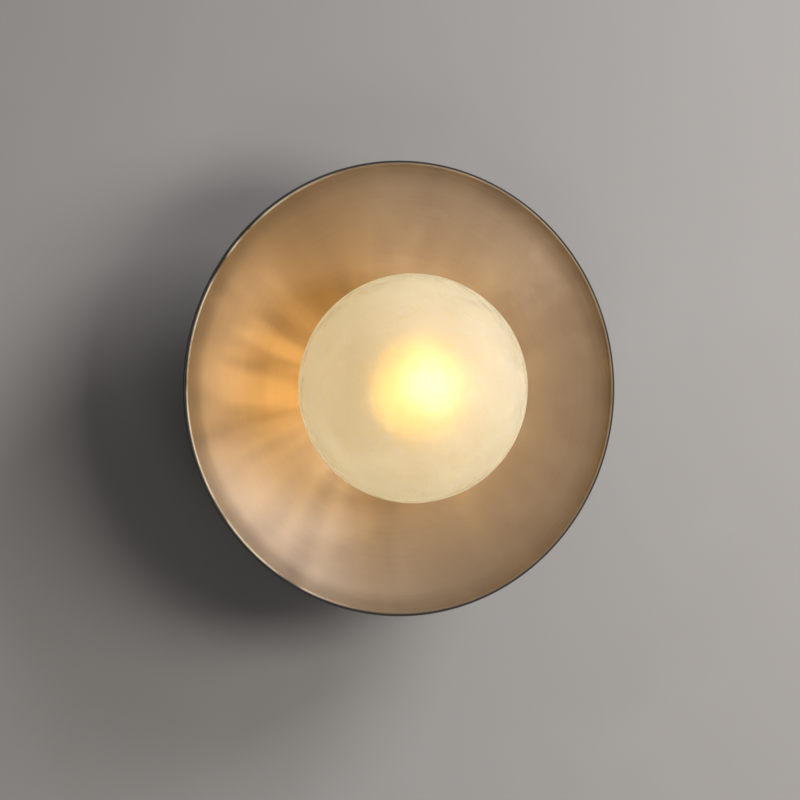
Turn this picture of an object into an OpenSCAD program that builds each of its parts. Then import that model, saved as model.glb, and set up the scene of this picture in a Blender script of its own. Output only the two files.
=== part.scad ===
// A round wall sconce. A shallow spun dish, black outside and brushed brass inside, stands off the wall on
// a short stem from a round canopy. A frosted glass globe on spring clips nests in the well at the dish's
// middle, round a screw-in filament bulb.
// The origin is on the wall, at the middle of the mounting plate. X is to the right, Z is up and the dish
// faces -Y. Each module draws its piece with Z as the distance from the wall, and facing() turns it.

/* [Wall plate and canopy] */
// Thickness of the mounting plate
plate_t = 2; // [1.6:0.2:2.6]
// Distance between the middles of the two wall slots
slot_spacing = 66; // [58:1:72]
// Length of a wall slot, end to end
slot_len = 14; // [10:1:18]
// Width of a wall slot
slot_w = 4.6; // [4:0.2:6]
// Bore of the cable grommet
cable_d = 12; // [8:1:14]
// Diameter of the canopy
canopy_d = 120; // [116:1:140]
// Depth of the canopy
canopy_h = 26; // [25:0.5:34]
// Thickness of the canopy's sheet
canopy_t = 1.2; // [0.8:0.1:1.6]
// Radius of the canopy's front corner
canopy_corner = 5; // [3:0.5:8]
// Distance of the canopy's side screws from the wall
side_screw_z = 11; // [8:0.5:14]

/* [Stem] */
// Length of the stem between the canopy and the backing washer
stem_len = 18.5; // [12:0.5:60]
// Diameter of the stem
stem_d = 24; // [20:1:32]
// Outer diameter of the threaded tube
tube_d = 10; // [9:0.5:12]
// Bore of the threaded tube
tube_bore_d = 7; // [6:0.25:7.5]

/* [Dish] */
// Diameter of the dish over its rim
dish_d = 300; // [280:1:330]
// Thickness of each of the two spun sheets
sheet = 1; // [0.8:0.1:1.2]
// Slope of the dish beside its well, in degrees
slope_in = 20.5; // [18:0.5:22]
// Slope of the dish where its rim begins to turn up, in degrees
slope_out = 24.5; // [24:0.5:28]
// Slope of the dish at its rim, in degrees
rim_slope = 32; // [30:0.5:36]
// Width of the band that turns up
band_w = 12; // [9:0.5:15]
// Diameter of the turned bead on the brass lip
bead_d = 1.8; // [1.8:0.1:2.6]
// Space round the gallery in the well
well_gap = 9.8; // [7:0.2:12]
// Radius of the well's front edge
well_fillet = 4; // [3.6:0.2:6]

/* [Globe] */
// Outer diameter of the globe
globe_d = 150; // [142:1:160]
// Thickness of the globe's glass
glass_t = 3; // [2:0.25:4]
// Outer diameter of the globe's neck
neck_d = 80; // [77:1:84]
// Length of the straight part of the neck
neck_len = 8; // [7.5:0.5:11]
// Space between the globe and the dish where they come closest
globe_gap = 4.75; // [2.5:0.25:6]
// Thickness of the gasket under the neck
gasket_t = 1.5; // [1:0.25:2.5]

/* [Lampholder] */
// Diameter of the ceramic body
holder_d = 39; // [37:0.5:42]
// Height of the ceramic body
holder_h = 38; // [36:0.5:42]
// Diameter of each insulated wire
wire_d = 2; // [1.6:0.1:2.2]

/* [Bulb] */
// Diameter of the bulb's envelope
bulb_d = 60; // [54:1:62]
// Length of the bulb from its contact to its front
bulb_len = 100; // [98:1:105]
// Diameter of the bulb's screw cap
cap_d = 26; // [25:0.25:27]
// Number of filaments
filament_count = 4; // [3:1:6]

/* [Hidden] */
$fn = 96;

// Clearances: a screw or tube in its hole, a piece beside a moving one, and flat pieces that only face
fit = 0.05;
free = 0.3;
cut = 1;

// Plate, ears and canopy
ear_t = 2;
ear_w = 16;
ear_over = 6;
ear_h = side_screw_z + ear_over;
ear_root = 4;
ear_gap = 1.2;
ear_x = canopy_d / 2 - canopy_t - ear_gap;
plate_gap = 1.6;
plate_r = ear_x - ear_t - plate_gap;
side_screw_r = 2;
side_head_r = 4.6;
side_head_h = 3;
side_head_round = 0.8;
side_thread = 3;
grommet_wall = 3;
grommet_lip = 2;
grommet_lip_t = 1.8;

// Threaded tube, its nut, tag and washer, from the canopy's face backwards
tube_r = tube_d / 2;
hole_r = tube_r + fit;
lock_t = 0.8;
tooth_count = 12;
tooth_gap = 1.2;
tooth_l = 1.4;
eyelet_t = 0.8;
nut_t = 4;
nut_flats = tube_d + nut_t;
ring_w = 4;
ring_r = tube_r + ring_w;
canopy_inside = canopy_h - canopy_t;
tag_z = canopy_inside - lock_t - eyelet_t;
nut_z = tag_z - nut_t;
tube_stub = 4;
tube_back = nut_z - tube_stub;

// Dish floor, gallery and globe, from the canopy's face forwards
washer_t = 1.5;
washer_r = stem_d;
gallery_t = 1.2;
liner_gap = 0.3;
floor_z = canopy_h + stem_len + washer_t + 2 * sheet;
seat_z = floor_z + gallery_t;
neck_z = seat_z + gasket_t + free;
neck_r = neck_d / 2;
neck_in = neck_r - glass_t;
globe_r = globe_d / 2;
globe_z = neck_z + neck_len + sqrt(globe_r * globe_r - neck_r * neck_r);
neck_gap = 1;
gallery_r = neck_r + neck_gap + gallery_t;
gallery_h = 7.5;
gasket_over = 0.4;

// The dish's front surface, from the well outwards
dish_r = dish_d / 2;
well_r = gallery_r + well_gap;
well_corner = 4;
nearest = globe_r + globe_gap + well_fillet;
fillet_z = globe_z - sqrt(nearest * nearest - pow(well_r + well_fillet, 2));
lip_r = dish_r - sheet - 2 * fit - bead_d;
bowl_start = well_r + well_fillet * (1 - sin(slope_in));
bowl_end = lip_r - band_w;
bowl_r = (bowl_end - bowl_start) / (sin(slope_out) - sin(slope_in));
turn_r = 0.6 * band_w / (sin(rim_slope) - sin(slope_out));

lip_z = last(dish_path(lip_r))[1];
bead_z = lip_z + bead_d / 8;
rim_z = bead_z + bead_d / 2;
rim_drop = 0.5;

// Clips and rivets
clip_count = 3;
clip_t = 0.5;
clip_w = 9;
clip_foot = 13;
rivet_at = 9;
rivet_r = 1.5;
rivet_head_r = 2.8;
rivet_head_h = 1.3;

// Lampholder
bracket_t = 1.5;
bracket_r = holder_d / 2 - 3.5;
collar_wall = 2.5;
collar_r = tube_r + collar_wall;
collar_h = 4.5;
holder_z = seat_z + bracket_t;
collar_top = holder_z + collar_h;
tube_front = collar_top - 0.5;
recess_top = holder_z + 8.8;
cup_floor = recess_top + 2.5;
cup_r = cap_d / 2 + 1.4;
shell_wave = 0.25;
shell_mid = cap_d / 2 + 0.4 + shell_wave;
shell_t = 0.4;
shell_h = 24;
thread_pitch = 3.6;
wire_r = wire_d / 2;
wire_x = wire_r + 0.2;
wire_z = collar_top + 2;
term_x = collar_r + 1.5;
term_l = 7;
term_w = 8;
term_below = 2.6;
term_screw_r = 1.2;
rivet_x = term_x + 2;
leaf_t = 0.4;
leaf_w = 6;
leaf_rise = 0.8;
holder_screw_y = collar_r + 3.5;
holder_screw_r = 1.5;
holder_head_r = 2.2;
holder_head_h = 1.4;
holder_foot_h = 12;
holder_step = 1;
holder_round = 1.5;
term_hole_r = 2;
term_gap = 2;
leaf_rivet_r = 1.2;
leaf_end = 1.8;
leaf_flat = 4;

// Bulb, from its contact
tip_z = cup_floor + leaf_t + leaf_rise + free;
bulb_r = bulb_d / 2;
cap_r = cap_d / 2;
cap_h = 26.5;
cap_t = 0.35;
cap_wave = 0.3;
cap_foot = 4.8;
cap_foot_r = cap_r - 1.4;
thread_low = 7;
thread_high = cap_h - 2.5;
envelope_t = 0.8;
glass_neck = cap_r - 1;
glass_low = 20;
neck_straight = 4;
shoulder_z = glass_low + neck_straight;
bulb_mid = bulb_len - bulb_r;
shoulder_rise = bulb_mid - shoulder_z;
shoulder_r =
    (pow(shoulder_rise, 2) - pow(bulb_r, 2) + pow(glass_neck, 2)) / (2 * (bulb_r - glass_neck));
contact_r = 4.5;
contact_h = 3.8;

// Terminal block and earth screw on the plate
pole_pitch = 11;
block_w = 17;
block_top = -19;
block_h = 13;
block_y = block_top - block_w / 2;
pole_w = 9;
block_screw_r = 1.25;
block_head_r = 2.2;
block_head_h = 1.6;
clamp_hole_r = 2;
sleeve_z = plate_t + 5.5;
sleeve_r = 2.5;
sleeve_bore = 1.6;
clamp_screw_r = 1.5;
clamp_screw_l = 4.5;
sleeve_short = 1;
slot_cut = 0.6;
earth_x = 24;
earth_y = 22;
washer_h = 0.8;
earth_head_h = 2.4;
earth_slot = 1;
eyelet_pitch = eyelet_t + fit;
eyelet_r = 4;
barrel_r = wire_r + 0.8;
barrel_root = 0.5;
barrel_l = 6;
earth_stack = plate_t + 2 * washer_h + 2 * eyelet_pitch;

// Turns a piece drawn with Z as the distance from the wall so that it faces -Y
module facing() { rotate([90, 0, 0]) children(); }

// A ring with a square section
module ring(outer, inner, h) {
    difference() {
        cylinder(r = outer, h = h);
        translate([0, 0, -cut]) cylinder(r = inner, h = h + 2 * cut);
    }
}

// A straight round rod from p to q
module rod(p, q, r) {
    d = q - p;
    translate(p) rotate([0, acos(d[2] / norm(d)), atan2(d[1], d[0])]) cylinder(r = r, h = norm(d), $fn = 24);
}

// Points of an arc that starts at a point with its direction at angle a and ends at angle b, each with its
// own direction. It bends up when b is more than a, and down when it is less.
function arc_path(start, a, b, r, n) =
    let (s = b > a ? 1 : -1, c = start + s * r * [-sin(a), cos(a)])
    [for (i = [1 : n]) let (t = a + (b - a) * i / n) [each (c + s * r * [sin(t), -cos(t)]), t]];

function last(list) = list[len(list) - 1];
function flat(p) = [p[0], p[1]];

// The dish's front surface as radius, distance from the wall and direction: floor, well, bowl, rim band
function dish_path(end_r) =
    let (
        corner = arc_path([well_r - well_corner, floor_z], 0, 90, well_corner, 6),
        edge = arc_path([well_r, fillet_z], 90, slope_in, well_fillet, 6),
        bowl = arc_path(flat(last(edge)), slope_in, slope_out, bowl_r, 20),
        turn = arc_path(flat(last(bowl)), slope_out, rim_slope, turn_r, 5),
        k = last(turn)
    )
    concat(
        [[hole_r, floor_z, 0], [well_r - well_corner, floor_z, 0]], corner,
        [[well_r, fillet_z, 90]], edge, bowl, turn,
        [[end_r, k[1] + (end_r - k[0]) * tan(rim_slope), rim_slope]]
    );

// The same path moved back through the metal by d, and by g more where it slopes and the sheets stand apart
function behind(path, d, g) =
    [for (p = path) let (s = d + (p[2] > 0 ? g : 0)) flat(p) + s * [sin(p[2]), -cos(p[2])]];

function reversed(list) = [for (i = [len(list) - 1 : -1 : 0]) list[i]];

// A flat strip of even thickness along open points
function strip(pts, t) =
    let (
        n = len(pts),
        side = [for (i = [0 : n - 1])
            let (d = pts[min(i + 1, n - 1)] - pts[max(i - 1, 0)]) [-d[1], d[0]] / norm(d) * t / 2]
    )
    concat([for (i = [0 : n - 1]) pts[i] + side[i]], [for (i = [n - 1 : -1 : 0]) pts[i] - side[i]]);

// Rounded screw thread as even rings: radius against height
function waves(mid, swing, z0, z1) =
    let (n = round((z1 - z0) / thread_pitch * 6))
    [for (i = [0 : n]) let (z = z0 + (z1 - z0) * i / n)
        [mid + swing * cos(360 * (z - z0) / thread_pitch), z]];

// A smooth curve with four control points
function bend(a, b, c, d, n) =
    [for (i = [0 : n]) let (t = i / n, u = 1 - t)
        u * u * u * a + 3 * u * u * t * b + 3 * u * t * t * c + t * t * t * d];

// A round tube along points, with its rings carried along without twisting
module tube_along(pts, r, sides = 8) {
    n = len(pts);
    dir = [for (i = [0 : n - 1])
        let (d = pts[min(i + 1, n - 1)] - pts[max(i - 1, 0)]) d / norm(d)];
    first = cross(dir[0], abs(dir[0][0]) < 0.9 ? [1, 0, 0] : [0, 1, 0]);
    across = [for (i = 0, v = first / norm(first); i < n;
        i = i + 1,
        w = i < n ? v - (v * dir[i]) * dir[i] : v,
        v = w / norm(w)) v];
    verts = [for (i = [0 : n - 1]) let (u = across[i], w = cross(dir[i], u))
        for (k = [0 : sides - 1]) pts[i] + r * (cos(360 * k / sides) * u + sin(360 * k / sides) * w)];
    walls = [for (i = [0 : n - 2]) for (k = [0 : sides - 1]) let (m = (k + 1) % sides)
        for (f = [[i * sides + k, (i + 1) * sides + k, (i + 1) * sides + m],
            [i * sides + k, (i + 1) * sides + m, i * sides + m]]) f];
    ends = [[for (k = [0 : sides - 1]) k], [for (k = [sides - 1 : -1 : 0]) (n - 1) * sides + k]];
    polyhedron(verts, concat(walls, ends), convexity = 6);
}

// Wall plate

module mounting_plate() color("silver") facing() {
    difference() {
        union() {
            cylinder(r = plate_r, h = plate_t);
            for (s = [-1, 1]) scale([s, 1, 1]) {
                translate([plate_r - ear_root, -ear_w / 2, 0])
                    cube([ear_x - plate_r + ear_root, ear_w, plate_t]);
                translate([ear_x - ear_t, -ear_w / 2, 0]) cube([ear_t, ear_w, ear_h]);
            }
        }
        translate([0, 0, -cut]) cylinder(r = cable_d / 2 + grommet_wall + fit, h = plate_t + 2 * cut);
        for (s = [-1, 1]) translate([s * slot_spacing / 2, 0, -cut]) {
            translate([-(slot_len - slot_w) / 2, -slot_w / 2, 0])
                cube([slot_len - slot_w, slot_w, plate_t + 2 * cut]);
            for (e = [-1, 1]) translate([e * (slot_len - slot_w) / 2, 0, 0])
                cylinder(d = slot_w, h = plate_t + 2 * cut);
        }
        for (s = [-1, 1]) translate([s * (ear_x - ear_t - cut), 0, side_screw_z])
            rotate([0, s * 90, 0]) cylinder(r = side_screw_r + fit, h = ear_t + 2 * cut);
        translate([earth_x, earth_y, -cut]) cylinder(r = side_screw_r + fit, h = plate_t + 2 * cut);
        translate([-pole_pitch / 2, block_y, -cut]) cylinder(r = block_screw_r + fit, h = plate_t + 2 * cut);
    }
}

module cable_grommet() color("black") facing() {
    ring(cable_d / 2 + grommet_wall, cable_d / 2, plate_t);
    translate([0, 0, plate_t]) ring(cable_d / 2 + grommet_wall + grommet_lip, cable_d / 2, grommet_lip_t);
}

// Earth screw, its washers and the two eyelets clamped between them

// A screwdriver slot across a head, from height z up
module driver_slot(head_r, w, z) translate([-head_r - cut, -w / 2, z])
    cube([2 * (head_r + cut), w, 2 * head_r]);

module earth_screw() color("goldenrod") facing() translate([earth_x, earth_y, 0]) {
    translate([0, 0, free]) cylinder(r = side_screw_r, h = earth_stack - free);
    translate([0, 0, earth_stack]) difference() {
        cylinder(r = eyelet_r, h = earth_head_h);
        driver_slot(eyelet_r, earth_slot, earth_head_h - earth_slot);
    }
}

module earth_washers() color("silver") facing() translate([earth_x, earth_y, plate_t]) {
    ring(eyelet_r + 0.5, side_screw_r + fit, washer_h);
    translate([0, 0, washer_h + 2 * eyelet_pitch]) ring(eyelet_r + 0.5, side_screw_r + fit, washer_h);
}

// A ring terminal: its ring lies at z 0 and its crimped barrel points along +X
module eyelet(ring_out, ring_in) {
    difference() {
        union() {
            cylinder(r = ring_out, h = eyelet_t);
            translate([0, -barrel_r, 0]) cube([ring_out + 1, 2 * barrel_r, eyelet_t]);
            translate([ring_out + barrel_root, 0, barrel_r]) rotate([0, 90, 0])
                cylinder(r = barrel_r, h = barrel_l);
        }
        translate([0, 0, -cut]) cylinder(r = ring_in, h = eyelet_t + 2 * cut);
        translate([ring_out + 2 * barrel_root, 0, barrel_r]) rotate([0, 90, 0])
            cylinder(r = wire_r + fit, h = barrel_l + cut);
    }
}

eyelet_z = plate_t + washer_h;
module earth_eyelets() color("silver") facing() translate([earth_x, earth_y, eyelet_z]) {
    rotate([0, 0, -90]) eyelet(eyelet_r, side_screw_r + fit);
    translate([0, 0, eyelet_pitch]) rotate([0, 0, 180]) eyelet(eyelet_r, side_screw_r + fit);
}

// Terminal block: three poles on a common foot

module terminal_block() color("white") facing() translate([0, block_y, plate_t]) difference() {
    union() {
        translate([-1.5 * pole_pitch, -block_w / 2, 0]) cube([3 * pole_pitch, block_w, block_h / 2]);
        for (p = [-1 : 1]) translate([p * pole_pitch - pole_w / 2, -block_w / 2, 0])
            cube([pole_w, block_w, block_h]);
    }
    for (p = [-1 : 1]) translate([p * pole_pitch, 0, 0]) {
        translate([0, block_w / 2 + cut, sleeve_z - plate_t]) rotate([90, 0, 0])
            cylinder(r = sleeve_r + fit, h = block_w + 2 * cut);
        for (e = [-1, 1]) translate([0, e * block_w / 4, sleeve_z - plate_t])
            cylinder(r = clamp_hole_r, h = block_h);
    }
    translate([-pole_pitch / 2, 0, -cut]) cylinder(r = block_screw_r + 3 * fit, h = block_h);
    translate([-pole_pitch / 2, 0, block_h / 2 - block_head_h])
        cylinder(r = block_head_r + free, h = block_h);
}

module terminal_sleeves() color("gold") facing() for (p = [-1 : 1])
    translate([p * pole_pitch, block_y, sleeve_z]) difference() {
        translate([0, block_w / 2 - sleeve_short, 0]) rotate([90, 0, 0])
            cylinder(r = sleeve_r, h = block_w - 2 * sleeve_short);
        translate([0, block_w / 2, 0]) rotate([90, 0, 0]) cylinder(r = sleeve_bore, h = block_w);
        for (e = [-1, 1]) translate([0, e * block_w / 4, 0])
            cylinder(r = clamp_screw_r + fit, h = sleeve_r + cut);
    }

module terminal_screws() color("silver") facing() for (p = [-1 : 1], e = [-1, 1])
    translate([p * pole_pitch, block_y + e * block_w / 4, sleeve_z + wire_r + 2 * fit]) difference() {
        cylinder(r = clamp_screw_r, h = clamp_screw_l);
        driver_slot(clamp_screw_r, slot_cut, clamp_screw_l - 0.7);
    }

module block_screw() color("silver") facing() translate([-pole_pitch / 2, block_y, 0]) {
    head_z = plate_t + block_h / 2 - block_head_h;
    translate([0, 0, free]) cylinder(r = block_screw_r, h = head_z - free);
    translate([0, 0, head_z]) cylinder(r = block_head_r, h = block_head_h);
}

// Canopy: a cup with a round corner, open to the wall

module cup_section(r, h, corner) {
    square([r, h - corner]);
    square([r - corner, h]);
    translate([r - corner, h - corner]) circle(corner);
}

module canopy() color("#1c1b1a") facing() difference() {
    rotate_extrude() difference() {
        intersection() {
            cup_section(canopy_d / 2, canopy_h, canopy_corner);
            square([canopy_d, canopy_h]);
        }
        intersection() {
            cup_section(canopy_d / 2 - canopy_t, canopy_inside, canopy_corner - canopy_t);
            square([canopy_d, canopy_h]);
        }
    }
    translate([0, 0, canopy_inside - cut]) cylinder(r = hole_r, h = canopy_t + 2 * cut);
    for (s = [-1, 1]) translate([s * (ear_x + free), 0, side_screw_z]) rotate([0, s * 90, 0])
        cylinder(r = side_screw_r + free, h = 2 * ear_gap + 2 * canopy_t);
}

module canopy_screws() color("#1c1b1a") facing() for (s = [-1, 1])
    translate([s * (canopy_d / 2 + fit), 0, side_screw_z]) rotate([0, s * 90, 0]) {
        shank = canopy_t + ear_gap + ear_t + side_thread;
        translate([0, 0, -shank]) cylinder(r = side_screw_r, h = shank);
        rotate_extrude() polygon([[0, 0], [side_head_r, 0], [side_head_r, side_head_h / 2],
            [side_head_r - side_head_round, side_head_h - side_head_round / 2], [0, side_head_h]]);
    }

// Wires, each along its own bend

wire_in = 6.5;
wire_grip = 3.4;
wire_sweep = 9;
wire_dip = 2;
tube_sweep = 7;
turn_out = 2.2;
turn_in = 3;
eyelet_mouth = eyelet_r + barrel_l;
tag_mouth = ring_r + barrel_root + barrel_l;

module earth_wire() color("yellowgreen") facing() {
    start = [pole_pitch, block_top - wire_in, sleeve_z];
    a = start + [0, wire_in, 0];
    b = [earth_x, earth_y - eyelet_mouth, eyelet_z + barrel_r];
    tube_along(concat([start], bend(a, a + [0, wire_sweep, wire_dip], b - [0, wire_sweep, -wire_dip], b, 10),
        [b + [0, wire_grip, 0]]), wire_r);
}

module earth_lead() color("yellowgreen") facing() {
    a = [0, tag_mouth, canopy_inside - lock_t - barrel_r];
    b = [earth_x - eyelet_mouth, earth_y, eyelet_z + eyelet_pitch + barrel_r];
    tube_along(concat([a - [0, wire_grip, 0]], bend(a, a + [0, wire_sweep, 0], b - [wire_sweep, 0, 0], b, 10),
        [b + [wire_grip, 0, 0]]), wire_r);
}

// A wire from the block through the threaded tube to a holder terminal on side s
module supply_wire(s, pole) {
    start = [pole * pole_pitch, block_top - wire_in, sleeve_z];
    a = start + [0, wire_in, 0];
    b = [s * wire_x, 0, tube_back];
    c = [s * wire_x, 0, tube_front];
    d = [s * term_x, 0, wire_z];
    tube_along(concat(
        [start], bend(a, a + [0, wire_sweep, -wire_dip / 2], b - [0, 0, tube_sweep], b, 10),
        [for (i = [1 : 8]) b + (c - b) * i / 9],
        bend(c, c + [0, 0, turn_out], d - [s * turn_in, 0, 0], d, 6), [d + [s * (term_l - term_gap), 0, 0]]),
        wire_r);
}

module live_wire() color("saddlebrown") facing() supply_wire(1, 0);
module neutral_wire() color("steelblue") facing() supply_wire(-1, -1);

// Stem: the threaded tube and what it clamps

module threaded_tube() color("gold") facing() translate([0, 0, tube_back])
    ring(tube_r, tube_bore_d / 2, tube_front - tube_back);

module back_nut() color("gold") facing() translate([0, 0, nut_z]) difference() {
    cylinder(r = nut_flats / sqrt(3), h = nut_t, $fn = 6);
    translate([0, 0, -cut]) cylinder(r = hole_r, h = nut_t + 2 * cut);
}

module earth_tag() color("silver") facing() translate([0, 0, canopy_inside - lock_t]) mirror([0, 0, 1])
    rotate([0, 0, 90]) eyelet(ring_r, hole_r);

module lock_washer() color("silver") facing() translate([0, 0, canopy_inside - lock_t]) difference() {
    ring(ring_r, hole_r, lock_t);
    for (i = [0 : tooth_count - 1]) rotate([0, 0, 360 * i / tooth_count])
        translate([ring_r - tooth_l, -tooth_gap / 2, -cut]) cube([2 * tooth_l, tooth_gap, lock_t + 2 * cut]);
}

// The stem is turned down a little between its two collars
stem_waist = 1.5;
stem_collar = 2.5;
module stem() color("#1c1b1a") facing() translate([0, 0, canopy_h]) difference() {
    low = stem_collar + stem_waist;
    rotate_extrude() polygon([[0, 0], [stem_d / 2, 0], [stem_d / 2, stem_collar],
        [stem_d / 2 - stem_waist, low], [stem_d / 2 - stem_waist, stem_len - low],
        [stem_d / 2, stem_len - stem_collar], [stem_d / 2, stem_len], [0, stem_len]]);
    translate([0, 0, -cut]) cylinder(r = hole_r, h = stem_len + 2 * cut);
}

module backing_washer() color("#1c1b1a") facing() translate([0, 0, canopy_h + stem_len])
    ring(washer_r, hole_r, washer_t);

// Dish: two spun sheets, clamped together at the floor and held apart by a hair on the slopes

module dish_shell() color("#1c1b1a") facing() union() {
    path = dish_path(dish_r - fit - (2 * sheet + liner_gap) * sin(rim_slope));
    front = behind(path, sheet, liner_gap);
    back = behind(path, 2 * sheet, liner_gap);
    low = last(back)[1];
    rotate_extrude($fn = 180) polygon(concat(front, reversed(back)));
    translate([0, 0, low]) ring(dish_r, dish_r - sheet, rim_z - rim_drop - low, $fn = 180);
}

module dish_liner() color("#b08a5e") facing() union() {
    path = dish_path(lip_r + bead_d / 2);
    rotate_extrude($fn = 180) polygon(concat([for (p = path) flat(p)], reversed(behind(path, sheet, 0))));
    rotate_extrude($fn = 180) translate([lip_r + bead_d / 2, bead_z]) circle(d = bead_d, $fn = 24);
}

// Gallery, clips and gasket

module clip_places() for (i = [0 : clip_count - 1]) rotate([0, 0, 90 + 360 * i / clip_count]) children();

module gallery() color("#b08a5e") facing() difference() {
    translate([0, 0, floor_z]) rotate_extrude() {
        square([gallery_r, gallery_t]);
        translate([gallery_r - gallery_t, 0]) square([gallery_t, gallery_h]);
    }
    translate([0, 0, floor_z - cut]) cylinder(r = hole_r, h = gallery_t + 2 * cut);
    clip_places() translate([neck_in - rivet_at, 0, floor_z - cut])
        cylinder(r = rivet_r + fit, h = gallery_t + 2 * cut);
}

// A clip leans out to press on the neck's inner wall, and its end turns in to guide the neck on
clip_shape = [[-clip_foot, 0], [-4.5, 0], [-2.6, 1.2], [-0.9, 4.6], [-0.6, 6.2], [-1.2, 8.6], [-3.2, 12]];
module globe_clips() color("silver") facing() clip_places() difference() {
    rotate([90, 0, 0]) linear_extrude(clip_w, center = true)
        polygon(strip([for (p = clip_shape) p + [neck_in, seat_z + clip_t / 2]], clip_t));
    translate([neck_in - rivet_at, 0, seat_z - cut]) cylinder(r = rivet_r + fit, h = clip_t + 2 * cut);
}

module clip_rivets() color("silver") facing() clip_places() translate([neck_in - rivet_at, 0, floor_z]) {
    cylinder(r = rivet_r, h = gallery_t + clip_t);
    translate([0, 0, gallery_t + clip_t]) rotate_extrude()
        polygon([[0, 0], [rivet_head_r, 0], [rivet_head_r * 0.9, rivet_head_h * 0.55],
            [rivet_head_r * 0.5, rivet_head_h * 0.92], [0, rivet_head_h]]);
}

module neck_gasket() color("gainsboro") facing() translate([0, 0, seat_z])
    ring(neck_r + gasket_over, neck_in - gasket_over, gasket_t);

// Lampholder

module holder_bracket() color("silver") facing() translate([0, 0, seat_z]) difference() {
    union() {
        cylinder(r = bracket_r, h = bracket_t);
        cylinder(r = collar_r, h = bracket_t + collar_h);
    }
    translate([0, 0, -cut]) cylinder(r = hole_r, h = bracket_t + collar_h + 2 * cut);
    for (s = [-1, 1]) translate([0, s * holder_screw_y, -cut])
        cylinder(r = holder_screw_r + fit, h = bracket_t + 2 * cut);
}

module holder_screws() color("silver") facing() for (s = [-1, 1]) translate([0, s * holder_screw_y, 0]) {
    translate([0, 0, seat_z + free]) cylinder(r = holder_screw_r, h = cup_floor - seat_z - free);
    translate([0, 0, cup_floor]) difference() {
        cylinder(r = holder_head_r, h = holder_head_h);
        driver_slot(holder_head_r, slot_cut, holder_head_h / 2);
    }
}

module lampholder_body() color("white") facing() translate([0, 0, holder_z]) difference() {
    rotate_extrude() polygon([[0, 0], [holder_d / 2, 0], [holder_d / 2, holder_foot_h],
        [holder_d / 2 - holder_step, holder_foot_h + 2 * holder_step],
        [holder_d / 2 - holder_step, holder_h - holder_round],
        [holder_d / 2 - holder_step - holder_round, holder_h], [0, holder_h]]);
    translate([0, 0, cup_floor - holder_z]) cylinder(r = cup_r, h = holder_h);
    translate([0, 0, -cut]) cylinder(r = collar_r + free, h = recess_top - holder_z + cut);
    translate([-(term_x + term_l + free), -term_w / 2 - free, -cut])
        cube([2 * (term_x + term_l + free), term_w + 2 * free, recess_top - holder_z + cut]);
    for (s = [-1, 1]) {
        translate([0, s * holder_screw_y, -cut]) cylinder(r = holder_screw_r + 2 * fit, h = holder_h);
        translate([s * rivet_x, 0, 0]) cylinder(r = leaf_rivet_r + fit, h = holder_h);
        translate([s * (term_x + term_l / 2), 0, wire_z - holder_z]) rotate([-90, 0, 0])
            cylinder(r = term_hole_r, h = holder_d);
    }
}

module lampholder_shell() color("gold") facing() {
    inner = waves(shell_mid, shell_wave, 0, shell_h);
    translate([0, 0, cup_floor]) rotate_extrude()
        polygon(concat(inner, [for (p = reversed(inner)) p + [shell_t, 0]]));
    translate([-shell_mid - shell_t, -leaf_w / 2, cup_floor])
        cube([shell_mid + shell_t - rivet_x + leaf_end, leaf_w, leaf_t]);
    translate([-rivet_x, 0, recess_top]) cylinder(r = leaf_rivet_r, h = cup_floor - recess_top + leaf_t);
}

module centre_contact() color("gold") facing() {
    rotate([90, 0, 0]) linear_extrude(leaf_w, center = true) polygon(strip([
        [rivet_x + leaf_end, cup_floor + leaf_t / 2], [leaf_flat, cup_floor + leaf_t / 2],
        [leaf_flat / 2, cup_floor + leaf_rise], [0, cup_floor + leaf_t / 2 + leaf_rise],
        [-leaf_flat / 2, cup_floor + leaf_rise]], leaf_t));
    translate([rivet_x, 0, recess_top]) cylinder(r = leaf_rivet_r, h = cup_floor - recess_top + leaf_t);
}

module holder_terminals() color("gold") facing() for (s = [-1, 1]) scale([s, 1, 1])
    translate([term_x, 0, 0]) difference() {
        translate([0, -term_w / 2, wire_z - term_below])
            cube([term_l, term_w, recess_top - wire_z + term_below]);
        translate([-cut, 0, wire_z]) rotate([0, 90, 0]) cylinder(r = wire_r + 2 * fit, h = term_l + 2 * cut);
        translate([term_l / 2, 0, wire_z]) rotate([-90, 0, 0]) cylinder(r = term_screw_r + fit, h = term_w);
    }

module holder_terminal_screws() color("silver") facing() for (s = [-1, 1])
    translate([s * (term_x + term_l / 2), wire_r + 2 * fit, wire_z]) rotate([-90, 0, 0])
        cylinder(r = term_screw_r, h = term_w / 2);

// Globe: a sphere with a straight neck, ground flat at its end

module globe_glass() color("#f6e6c4") facing() rotate_extrude($fn = 180) difference() {
    union() {
        intersection() {
            translate([0, globe_z]) circle(globe_r);
            translate([0, neck_z]) square([globe_r + cut, 2 * globe_r]);
        }
        translate([0, neck_z]) square([neck_r, globe_z - neck_z]);
    }
    translate([0, globe_z]) circle(globe_r - glass_t);
    translate([-cut, neck_z - cut]) square([neck_in + cut, globe_z - neck_z]);
    translate([-globe_r, neck_z - globe_r]) square([globe_r, 4 * globe_r]);
}

// Bulb: drawn from its contact and set down by its own height above the wall

module bulb_place() facing() translate([0, 0, tip_z]) children();

// Outline of the envelope, moved inwards by a wall: neck, hollow shoulder, round front
function envelope(wall) =
    let (out = glass_neck + shoulder_r, turn = atan2(shoulder_rise, out))
    concat(
        [[glass_neck - wall, glass_low]],
        [for (i = [0 : 10]) let (t = 180 - turn * i / 10)
            [out, shoulder_z] + (shoulder_r + wall) * [cos(t), sin(t)]],
        [for (i = [1 : 24]) let (t = -turn + (90 + turn) * i / 24)
            [0, bulb_mid] + (bulb_r - wall) * [cos(t), sin(t)]]
    );

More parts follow.
